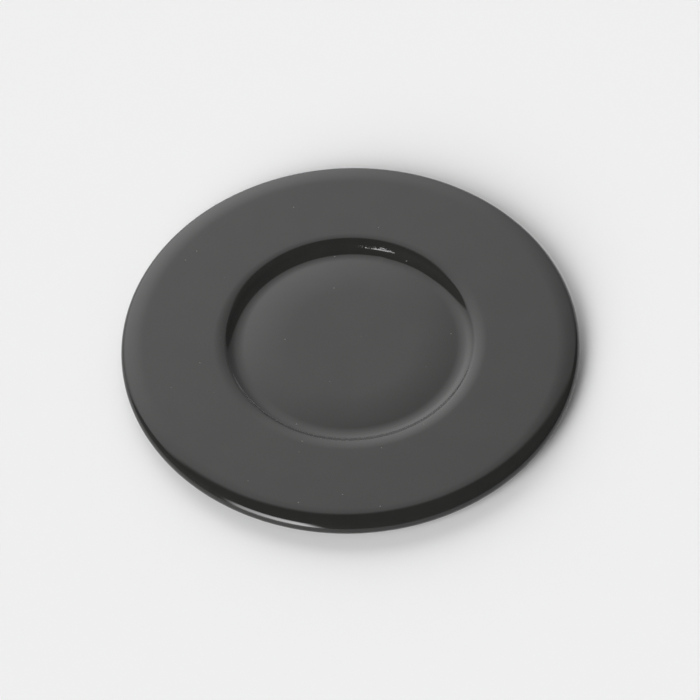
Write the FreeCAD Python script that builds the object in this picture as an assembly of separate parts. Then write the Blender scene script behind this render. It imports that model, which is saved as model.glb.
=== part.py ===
"""Gas burner cap: a round pressed-steel disc with a shallow recess in its top, enamelled black all over.

The cap is one body of revolution about Z, in millimetres. z = 0 is the flat face of the boss that stands
out below the recess. The cap rests on that face when it is off its burner, and on the flat ring around the
boss, which is its seat, when it lies on the burner's flame ring.
"""
import FreeCAD
import Part
import math
import os

# Driving dimensions, in millimetres and degrees
cap_diameter = 100.0
plate_thickness = 3.8

# The rim: a shoulder that falls away softly, then a rounded edge
shoulder_width = 3.75
shoulder_slope = 12.25
top_edge_radius = 1.48

# The recess: its diameter is taken at the steepest part of its wall, its depth at its lowest part
recess_diameter = 53.6
recess_depth = 1.42
lip_width = 2.37
lip_slope = 13.25
lip_radius = 1.87
foot_radius = 3.76

# Inside the wall the floor runs out softly, turns up again and rises a little to a flat centre
foot_width = 1.93
foot_slope = 7.8
crown_width = 9.4
crown_slope = 5.3

# The boss under the recess, pressed out by the same stroke
boss_root_radius = 1.9
boss_edge_radius = 2.5


def sine(degrees):
    return math.sin(math.radians(degrees))


def cosine(degrees):
    return math.cos(math.radians(degrees))


def tangent(degrees):
    return math.tan(math.radians(degrees))


def easing_radius(width, slope):
    """Radius of the large arc that leaves a flat and reaches the slope over the width."""
    return width / sine(slope)


def easing_height(width, slope):
    """Height that this arc gains or loses over the width."""
    return width * tangent(slope / 2)


# Sizes that follow from the driving dimensions
cap_radius = cap_diameter / 2
recess_radius = recess_diameter / 2

# The rim is a full round, so the lower edge takes what the shoulder and the top edge leave of the plate
shoulder_height = easing_height(shoulder_width, shoulder_slope)
under_edge_radius = plate_thickness - shoulder_height - top_edge_radius * cosine(shoulder_slope)
shoulder_start = cap_radius - top_edge_radius * (1 - sine(shoulder_slope)) - shoulder_width

# The soft run-out is one large arc from the foot's slope through level to the crown's slope
run_out_radius = foot_width / (sine(foot_slope) + sine(crown_slope))
run_out_height = run_out_radius * (1 - cosine(foot_slope))

# The recess wall is an S of two arcs, and the slope where they meet follows from the depth
wall_height = recess_depth - easing_height(lip_width, lip_slope) - run_out_height
wall_cosine = (
    lip_radius * cosine(lip_slope)
    + foot_radius * cosine(foot_slope)
    - wall_height
) / (lip_radius + foot_radius)
wall_slope = math.degrees(math.acos(wall_cosine))
foot_start = recess_radius - foot_radius * (sine(wall_slope) - sine(foot_slope))
flat_floor_radius = foot_start - foot_width - crown_width

# The boss stands out as far as the recess goes in, and its wall lies outside the recess wall
boss_height = recess_depth
boss_wall_radius = recess_radius + plate_thickness * tangent(wall_slope / 2)
boss_slope = math.degrees(math.acos(1 - boss_height / (boss_root_radius + boss_edge_radius)))
seat_inner_radius = boss_wall_radius + boss_root_radius * sine(boss_slope)

# Heights above the boss's face
seat_level = boss_height
top_level = seat_level + plate_thickness
crown_height = run_out_radius * (1 - cosine(crown_slope)) + easing_height(crown_width, crown_slope)
flat_floor_level = top_level - recess_depth + crown_height


class Section:
    """An outline in the XZ plane, drawn edge by edge.

    The heading is in degrees: 0 points outwards along +X, and 90 points up along +Z.
    """

    def __init__(self, radius, level):
        self.start = FreeCAD.Vector(radius, 0, level)
        self.point = self.start
        self.heading = 0.0
        self.edges = []

    def line_to(self, end):
        self.edges.append(Part.LineSegment(self.point, end).toShape())
        self.point = end

    def run_to_radius(self, radius):
        """Go straight in or out, at the same level."""
        self.line_to(FreeCAD.Vector(radius, 0, self.point.z))

    def bend(self, radius, turn):
        """Follow an arc that leaves along the heading and turns this far, anticlockwise if positive."""
        side = math.copysign(radius, turn)
        centre = self.point + FreeCAD.Vector(-side * sine(self.heading), 0, side * cosine(self.heading))

        def on_arc(angle):
            direction = self.heading + angle
            return centre + FreeCAD.Vector(side * sine(direction), 0, -side * cosine(direction))

        end = on_arc(turn)
        self.edges.append(Part.Arc(self.point, on_arc(turn / 2), end).toShape())
        self.point = end
        self.heading += turn

    def revolve(self):
        """Close the outline along the axis and turn it into a solid about Z."""
        self.line_to(self.start)
        face = Part.Face(Part.Wire(self.edges))
        full_turn = 360
        return face.revolve(FreeCAD.Vector(0, 0, 0), FreeCAD.Vector(0, 0, 1), full_turn)


def draw_recess(section):
    """From the axis out over the crowned floor, up the wall and over the lip."""
    section.run_to_radius(flat_floor_radius)
    section.bend(easing_radius(crown_width, crown_slope), -crown_slope)
    section.bend(run_out_radius, crown_slope + foot_slope)
    section.bend(foot_radius, wall_slope - foot_slope)
    section.bend(lip_radius, lip_slope - wall_slope)
    section.bend(easing_radius(lip_width, lip_slope), -lip_slope)


def draw_rim(section):
    """Across the flat top, down the shoulder and round the edge to the seat."""
    section.run_to_radius(shoulder_start)
    section.bend(easing_radius(shoulder_width, shoulder_slope), -shoulder_slope)
    quarter_turn = 90
    section.bend(top_edge_radius, shoulder_slope - quarter_turn)
    section.bend(under_edge_radius, -quarter_turn)


def draw_underside(section):
    """Inwards along the seat, down the boss's wall and across its face to the axis."""
    section.run_to_radius(seat_inner_radius)
    section.bend(boss_root_radius, boss_slope)
    section.bend(boss_edge_radius, -boss_slope)
    section.run_to_radius(0)


def make_burner_cap():
    section = Section(0, flat_floor_level)
    draw_recess(section)
    draw_rim(section)
    draw_underside(section)
    return section.revolve()


os.makedirs("parts", exist_ok=True)
make_burner_cap().exportStep("parts/burner_cap.step")
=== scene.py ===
"""Dresses the gas burner cap: a finely turned body in glossy black enamel, a pale floor and a soft studio.

Sizes are written in millimetres and degrees, as on the part's drawing, and turned into metres where the
meshes are made. Azimuths run clockwise from +Y, seen from above. A direction of light is an azimuth and an
elevation.
"""
import bpy
import math
from mathutils import Matrix, Vector, noise


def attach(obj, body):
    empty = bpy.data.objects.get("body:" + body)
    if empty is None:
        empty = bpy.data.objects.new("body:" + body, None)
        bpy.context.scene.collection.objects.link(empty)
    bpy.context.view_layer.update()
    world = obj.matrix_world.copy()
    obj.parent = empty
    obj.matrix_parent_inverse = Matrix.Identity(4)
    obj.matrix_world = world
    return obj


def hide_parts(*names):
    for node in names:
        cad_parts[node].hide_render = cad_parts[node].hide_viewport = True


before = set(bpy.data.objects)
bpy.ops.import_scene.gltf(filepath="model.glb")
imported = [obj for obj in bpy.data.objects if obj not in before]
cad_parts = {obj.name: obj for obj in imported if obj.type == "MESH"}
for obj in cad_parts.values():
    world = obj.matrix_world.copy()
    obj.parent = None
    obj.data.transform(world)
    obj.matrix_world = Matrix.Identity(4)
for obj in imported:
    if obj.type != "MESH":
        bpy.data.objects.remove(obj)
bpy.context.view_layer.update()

MM = 0.001
NODE = "burner_cap"

# Section of the cap
cap_diameter = 100.0
plate_thickness = 3.8
shoulder_width = 3.75
shoulder_slope = 12.25
top_edge_radius = 1.48
recess_diameter = 53.6
recess_depth = 1.42
lip_width = 2.37
lip_slope = 13.25
lip_radius = 1.87
foot_radius = 3.76
foot_width = 1.93
foot_slope = 7.8
crown_width = 9.4
crown_slope = 5.3
boss_root_radius = 1.9
boss_edge_radius = 2.5

# Fineness of the turned mesh
segments = 480
bend_step = 3.0
least_bend_points = 10
run_step = 2.0

# Long shallow waves of the fired coat
wave_length = 9.0
wave_height = 0.01

# Where the coat lies thicker at the foot of the recess wall, at the back right. The first two pairs are
# radii and the other two are azimuths, and each says where the pool begins and where it is full.
pool_height = 0.06
pool_wall = (27.5, 26.1)
pool_floor = (22.0, 26.1)
pool_left = (15.0, 21.0)
pool_right = (55.0, 40.0)

# The rough streak on the recess wall, how far it reaches and how far it is at its full strength
peel_size = 0.8
peel_detail = 2.0
peel_height = 0.12
streak_middle = (6.5, 25.6, 4.5)
streak_reach = 5.8
streak_full_reach = 2.9
streak_width = 0.5
streak_full_width = 0.15

# Colour and gloss of the enamel, with faint mottling and pale specks
mottle_size = 8.0
mottle_detail = 3.0
mottle_range = (0.3, 0.7)
darker_enamel = (0.0140, 0.0139, 0.0131, 1.0)
lighter_enamel = (0.0164, 0.0163, 0.0154, 1.0)
enamel_roughness = (0.028, 0.042)
enamel_ior = 1.5
speck_spacing = 4.0
speck_radius = 0.18
speck_full_radius = 0.09
speck_colour = (0.16, 0.155, 0.145, 1.0)
speck_added_roughness = 0.4

# The floor: flat round the cap, and rising towards a far rim
floor_flat_radius = 1000.0
floor_rim_radius = 4500.0
floor_rim_height = 500.0
floor_rings = 24
floor_sides = 96
floor_colour = (0.88, 0.88, 0.88, 1.0)
floor_roughness = 0.6
floor_specular = 0.1

# Camera: the photo's angle, and the pixel where the middle of the cap's top plane falls
image_size = 700
view_elevation = 52.24
view_roll = -2.23
view_distance = 852.7
pixels_per_mm = 4.592
centre_pixel = (350.08, 339.10)
sensor_width = 36.0
nearest_view = 10.0
farthest_view = 20000.0


def sine(degrees):
    return math.sin(math.radians(degrees))


def cosine(degrees):
    return math.cos(math.radians(degrees))


def tangent(degrees):
    return math.tan(math.radians(degrees))


def smooth_step(value, start, end):
    """From 0 to 1, gently at both ends, while the value goes from start to end."""
    share = min(1.0, max(0.0, (value - start) / (end - start)))
    return share * share * (3 - 2 * share)


def easing_radius(width, slope):
    """Radius of the large arc that leaves a flat and reaches the slope over the width."""
    return width / sine(slope)


def easing_height(width, slope):
    """Height that this arc gains or loses over the width."""
    return width * tangent(slope / 2)


class Outline:
    """The cap's section as a list of (radius, level) points, drawn along a heading in degrees."""

    def __init__(self, radius, level):
        self.radius = radius
        self.level = level
        self.heading = 0.0
        self.points = [(radius, level)]

    def run_to_radius(self, radius):
        """Go straight in or out, with points close enough to carry the surface's waves."""
        count = max(1, round(abs(radius - self.radius) / run_step))
        start = self.radius
        for i in range(1, count + 1):
            self.points.append((start + (radius - start) * i / count, self.level))
        self.radius = radius

    def bend(self, radius, turn):
        """Follow an arc that leaves along the heading and turns this far, anticlockwise if positive."""
        side = math.copysign(radius, turn)
        centre_radius = self.radius - side * sine(self.heading)
        centre_level = self.level + side * cosine(self.heading)
        count = max(least_bend_points, math.ceil(abs(turn) / bend_step))
        for i in range(1, count + 1):
            heading = self.heading + turn * i / count
            self.radius = centre_radius + side * sine(heading)
            self.level = centre_level - side * cosine(heading)
            self.points.append((self.radius, self.level))
        self.heading += turn


def cap_outline():
    """The section from the axis over the top, round the rim and back under to the axis."""
    cap_radius = cap_diameter / 2
    recess_radius = recess_diameter / 2
    shoulder_height = easing_height(shoulder_width, shoulder_slope)
    under_edge_radius = plate_thickness - shoulder_height - top_edge_radius * cosine(shoulder_slope)
    shoulder_start = cap_radius - top_edge_radius * (1 - sine(shoulder_slope)) - shoulder_width
    run_out_radius = foot_width / (sine(foot_slope) + sine(crown_slope))
    run_out_height = run_out_radius * (1 - cosine(foot_slope))
    wall_height = recess_depth - easing_height(lip_width, lip_slope) - run_out_height
    wall_cosine = (
        lip_radius * cosine(lip_slope)
        + foot_radius * cosine(foot_slope)
        - wall_height
    ) / (lip_radius + foot_radius)
    wall_slope = math.degrees(math.acos(wall_cosine))
    foot_start = recess_radius - foot_radius * (sine(wall_slope) - sine(foot_slope))
    flat_floor_radius = foot_start - foot_width - crown_width
    crown_height = run_out_radius * (1 - cosine(crown_slope)) + easing_height(crown_width, crown_slope)
    boss_slope = math.degrees(math.acos(1 - recess_depth / (boss_root_radius + boss_edge_radius)))
    boss_wall_radius = recess_radius + plate_thickness * tangent(wall_slope / 2)

    line = Outline(0.0, plate_thickness + crown_height)
    line.run_to_radius(flat_floor_radius)
    line.bend(easing_radius(crown_width, crown_slope), -crown_slope)
    line.bend(run_out_radius, crown_slope + foot_slope)
    line.bend(foot_radius, wall_slope - foot_slope)
    line.bend(lip_radius, lip_slope - wall_slope)
    line.bend(easing_radius(lip_width, lip_slope), -lip_slope)
    line.run_to_radius(shoulder_start)
    line.bend(easing_radius(shoulder_width, shoulder_slope), -shoulder_slope)
    line.bend(top_edge_radius, shoulder_slope - 90)
    line.bend(under_edge_radius, -90)
    line.run_to_radius(boss_wall_radius + boss_root_radius * sine(boss_slope))
    line.bend(boss_root_radius, boss_slope)
    line.bend(boss_edge_radius, -boss_slope)
    line.run_to_radius(0.0)
    return line.points


def circle(radius, level, count):
    """Points spread evenly round the axis, in millimetres, handed back in metres."""
    points = []
    for k in range(count):
        angle = 2 * math.pi * k / count
        points.append((radius * MM * math.cos(angle), radius * MM * math.sin(angle), level * MM))
    return points


def smooth_mesh(name, vertices, faces):
    mesh = bpy.data.meshes.new(name)
    mesh.from_pydata(vertices, [], faces)
    mesh.polygons.foreach_set("use_smooth", [True] * len(mesh.polygons))
    mesh.update()
    return mesh


def turn_mesh(name, outline):
    """A closed mesh of revolution whose first and last points lie on the axis."""
    inner = outline[1:-1]
    vertices = [(0.0, 0.0, outline[0][1] * MM)]
    for radius, level in inner:
        vertices.extend(circle(radius, level, segments))
    vertices.append((0.0, 0.0, outline[-1][1] * MM))
    last = len(vertices) - 1

    def ring(i, k):
        return 1 + i * segments + k % segments

    faces = []
    for k in range(segments):
        faces.append((0, ring(0, k), ring(0, k + 1)))
        faces.append((last, ring(len(inner) - 1, k + 1), ring(len(inner) - 1, k)))
        for i in range(len(inner) - 1):
            faces.append((ring(i, k), ring(i + 1, k), ring(i + 1, k + 1), ring(i, k + 1)))
    return smooth_mesh(name, vertices, faces)


def pool_depth(point):
    """How much thicker the coat lies in its pool, which eases the wall of the recess there."""
    radius = math.hypot(point.x, point.y) / MM
    azimuth = math.degrees(math.atan2(point.x, point.y))
    across = smooth_step(radius, *pool_wall) * smooth_step(radius, *pool_floor)
    around = smooth_step(azimuth, *pool_left) * smooth_step(azimuth, *pool_right)
    return pool_height * across * around


def add_coat(mesh):
    """Shape the fired coat: waves that die away towards the faces it rests on, and its pool."""
    normals = [vertex.normal.copy() for vertex in mesh.vertices]
    for vertex, normal in zip(mesh.vertices, normals):
        share = min(1.0, 1.0 + normal.z)
        swell = noise.noise(vertex.co / (wave_length * MM))
        vertex.co += normal * (swell * share * wave_height * MM)
        if normal.z > 0:
            vertex.co.z += pool_depth(vertex.co) * MM
    mesh.update()


def make_cap(material):
    mesh = turn_mesh("enamelled_cap", cap_outline())
    add_coat(mesh)
    mesh.materials.append(material)
    cap = bpy.data.objects.new("enamelled_cap", mesh)
    bpy.context.scene.collection.objects.link(cap)
    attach(cap, "root")
    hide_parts(NODE)


class Graph:
    """A node tree, with short calls that add nodes to it and hand back their outputs."""

    def __init__(self, owner):
        owner.use_nodes = True
        self.nodes = owner.node_tree.nodes
        self.links = owner.node_tree.links

    def feed(self, socket, value):
        """Link a socket to another node's output, or set it to a plain value."""
        if isinstance(value, bpy.types.NodeSocket):
            self.links.new(value, socket)
        else:
            socket.default_value = value

    def add(self, kind, output, inputs, **settings):
        """Add a node with these settings and inputs, and hand back one of its outputs."""
        node = self.nodes.new(kind)
        for name, value in settings.items():
            setattr(node, name, value)
        for name, value in inputs.items():
            self.feed(node.inputs[name], value)
        return node.outputs[output]

    def math(self, operation, *values):
        return self.add("ShaderNodeMath", "Value", dict(enumerate(values)), operation=operation)

    def vector_math(self, operation, output, *values):
        return self.add("ShaderNodeVectorMath", output, dict(enumerate(values)), operation=operation)

    def ramp(self, value, start, end, low=0.0, high=1.0):
        """Go smoothly from low to high while the value goes from start to end."""
        inputs = {"Value": value, "From Min": start, "From Max": end, "To Min": low, "To Max": high}
        return self.add("ShaderNodeMapRange", "Result", inputs, interpolation_type="SMOOTHSTEP")

    def blend(self, share, first, second):
        """A colour between two others. The node's colour sockets share their names with its plain ones."""
        factor, colour_a, colour_b, colour_out = 0, 6, 7, 2
        inputs = {factor: share, colour_a: first, colour_b: second}
        return self.add("ShaderNodeMix", colour_out, inputs, data_type="RGBA")


def grain(graph, place, size, detail):
    """Noise from 0 to 1 whose patches are about this many millimetres across."""
    inputs = {"Vector": place, "Scale": 1 / (size * MM), "Detail": detail}
    return graph.add("ShaderNodeTexNoise", "Fac", inputs)


def speck_mask(graph, place):
    """1 inside each speck and 0 outside it."""
    inputs = {"Vector": place, "Scale": 1 / (speck_spacing * MM)}
    away = graph.add("ShaderNodeTexVoronoi", "Distance", inputs)
    return graph.ramp(away, speck_radius / speck_spacing, speck_full_radius / speck_spacing)


def streak_mask(graph, place):
    """1 inside the rough streak, which lies where the recess wall is steepest, and 0 outside it."""
    level_place = graph.vector_math("MULTIPLY", "Vector", place, (1.0, 1.0, 0.0))
    from_axis = graph.vector_math("LENGTH", "Value", level_place)
    from_wall = graph.math("ABSOLUTE", graph.math("SUBTRACT", from_axis, recess_diameter / 2 * MM))
    from_middle = graph.vector_math("DISTANCE", "Value", place, Vector(streak_middle) * MM)
    across = graph.ramp(from_wall, streak_width * MM, streak_full_width * MM)
    lengthwise = graph.ramp(from_middle, streak_reach * MM, streak_full_reach * MM)
    return graph.math("MULTIPLY", across, lengthwise)


def enamel_material():
    """Glossy black enamel: faintly mottled, with pale specks fired into it and one rough streak."""
    material = bpy.data.materials.new("black_enamel")
    graph = Graph(material)
    place = graph.add("ShaderNodeTexCoord", "Object", {})
    speck = speck_mask(graph, place)
    mottle = graph.ramp(grain(graph, place, mottle_size, mottle_detail), *mottle_range)
    black = graph.blend(mottle, darker_enamel, lighter_enamel)
    gloss = graph.ramp(mottle, 0.0, 1.0, *enamel_roughness)
    roughness = graph.math("MULTIPLY_ADD", speck, speck_added_roughness, gloss)
    peel = graph.math("MULTIPLY", grain(graph, place, peel_size, peel_detail), streak_mask(graph, place))
    relief = {"Height": graph.math("MULTIPLY", peel, peel_height), "Distance": MM}

    shader = graph.nodes["Principled BSDF"]
    graph.feed(shader.inputs["Base Color"], graph.blend(speck, black, speck_colour))
    graph.feed(shader.inputs["Roughness"], roughness)
    graph.feed(shader.inputs["Normal"], graph.add("ShaderNodeBump", "Normal", relief))
    shader.inputs["IOR"].default_value = enamel_ior
    return material


def direction(azimuth, elevation):
    return Vector((sine(azimuth) * cosine(elevation), cosine(azimuth) * cosine(elevation), sine(elevation)))


class Studio(Graph):
    """The light around the cap: soft panels drawn on a dim sphere."""

    def __init__(self, level):
        world = bpy.data.worlds.new("studio")
        bpy.context.scene.world = world
        super().__init__(world)
        self.way = self.add("ShaderNodeTexCoord", "Generated", {})
        self.total = level

    def along(self, azimuth, elevation):
        """How far the looked-at direction points along this one."""
        return self.vector_math("DOT_PRODUCT", "Value", self.way, direction(azimuth, elevation))

    def shine(self, light):
        """Add this light to the rest."""
        self.total = self.math("ADD", self.total, light)

    def glow(self, hot_spot, strength, reach):
        """Light that is strongest at the hot spot and fades away over this angle."""
        angle = self.math("ARCCOSINE", self.along(*hot_spot))
        share = self.math("DIVIDE", angle, math.radians(reach))
        fall = self.math("MULTIPLY", self.math("MULTIPLY", share, share), -1.0)
        return self.math("MULTIPLY", self.math("EXPONENT", fall), strength)

    def window(self, edges, hot_spot, strength, reach):
        """A glow cut off by straight edges. Each is the way from it into the window, and its softness."""
        light = self.glow(hot_spot, strength, reach)
        for azimuth, elevation, softness in edges:
            depth = self.along(azimuth, elevation)
            light = self.math("MULTIPLY", light, self.ramp(depth, -sine(softness), sine(softness)))
        self.shine(light)

    def disc(self, centre, radius, softness, level, hot_spot, strength, reach):
        """A round lit area with a hot spot, whose edge fades over this many degrees to each side."""
        angle = self.math("ARCCOSINE", self.along(*centre))
        inside = self.ramp(angle, math.radians(radius + softness), math.radians(radius - softness))
        light = self.math("ADD", self.glow(hot_spot, strength, reach), level)
        self.shine(self.math("MULTIPLY", light, inside))

    def side_fill(self, azimuth, strength):
        """Weak light from one whole side."""
        self.shine(self.math("MULTIPLY", self.math("MAXIMUM", self.along(azimuth, 0.0), 0.0), strength))

    def finish(self):
        background = self.nodes["Background"]
        background.inputs["Color"].default_value = (1.0, 1.0, 1.0, 1.0)
        self.links.new(self.total, background.inputs["Strength"])


def light_studio():
    """A large round panel behind the cap and a tall window at its front left, as the reflections show."""
    studio = Studio(level=0.165)
    studio.side_fill(azimuth=-90, strength=0.05)
    studio.disc(
        centre=(-9.0, 8.3),
        radius=56.6,
        softness=2.2,
        level=0.24,
        hot_spot=(-22.5, 31.8),
        strength=2.34,
        reach=31.8,
    )
    studio.window(
        edges=[(-76.6, -10.3, 4.5), (139.5, 11.1, 4.2), (-152.5, -34.8, 1.8)],
        hot_spot=(-168.1, 29.8),
        strength=12.2,
        reach=38.8,
    )
    studio.finish()


def floor_material():
    material = bpy.data.materials.new("pale_floor")
    material.use_nodes = True
    shader = material.node_tree.nodes["Principled BSDF"]
    shader.inputs["Base Color"].default_value = floor_colour
    shader.inputs["Roughness"].default_value = floor_roughness
    shader.inputs["Specular IOR Level"].default_value = floor_specular
    return material


def make_floor():
    """A wide sheet under the cap that rises gently far away, so that it fills the view from low down."""
    vertices = [(0.0, 0.0, 0.0)]
    for i in range(floor_rings + 1):
        share = i / floor_rings
        radius = floor_flat_radius + (floor_rim_radius - floor_flat_radius) * share
        vertices.extend(circle(radius, floor_rim_height * share ** 2, floor_sides))
    faces = []
    for k in range(floor_sides):
        after = (k + 1) % floor_sides
        faces.append((0, 1 + k, 1 + after))
        for i in range(floor_rings):
            low = 1 + i * floor_sides
            high = low + floor_sides
            faces.append((low + k, high + k, high + after, low + after))
    mesh = smooth_mesh("floor", vertices, faces)
    mesh.materials.append(floor_material())
    floor = bpy.data.objects.new("floor", mesh)
    bpy.context.scene.collection.objects.link(floor)


def make_camera():
    """A camera whose view matches the photo's: the given pixel shows the middle of the cap's top plane."""
    focal_pixels = pixels_per_mm * view_distance
    data = bpy.data.cameras.new("camera")
    data.sensor_width = sensor_width
    data.lens = sensor_width * focal_pixels / image_size
    data.clip_start = nearest_view * MM
    data.clip_end = farthest_view * MM
    back = Vector((0.0, -cosine(view_elevation), sine(view_elevation)))
    level_right = Vector((1.0, 0.0, 0.0))
    level_up = back.cross(level_right)
    right = level_right * cosine(view_roll) + level_up * sine(view_roll)
    up = level_up * cosine(view_roll) - level_right * sine(view_roll)
    offset_right = (centre_pixel[0] - image_size / 2) / pixels_per_mm * MM
    offset_up = (image_size / 2 - centre_pixel[1]) / pixels_per_mm * MM
    target = Vector((0.0, 0.0, (plate_thickness + recess_depth) * MM))
    place = target + back * view_distance * MM - right * offset_right - up * offset_up
    camera = bpy.data.objects.new("camera", data)
    camera.matrix_world = Matrix((
        (right.x, up.x, back.x, place.x),
        (right.y, up.y, back.y, place.y),
        (right.z, up.z, back.z, place.z),
        (0.0, 0.0, 0.0, 1.0),
    ))
    bpy.context.scene.collection.objects.link(camera)
    bpy.context.scene.camera = camera


make_cap(enamel_material())
make_floor()
light_studio()
make_camera()
bpy.context.scene.view_settings.view_transform = "Standard"
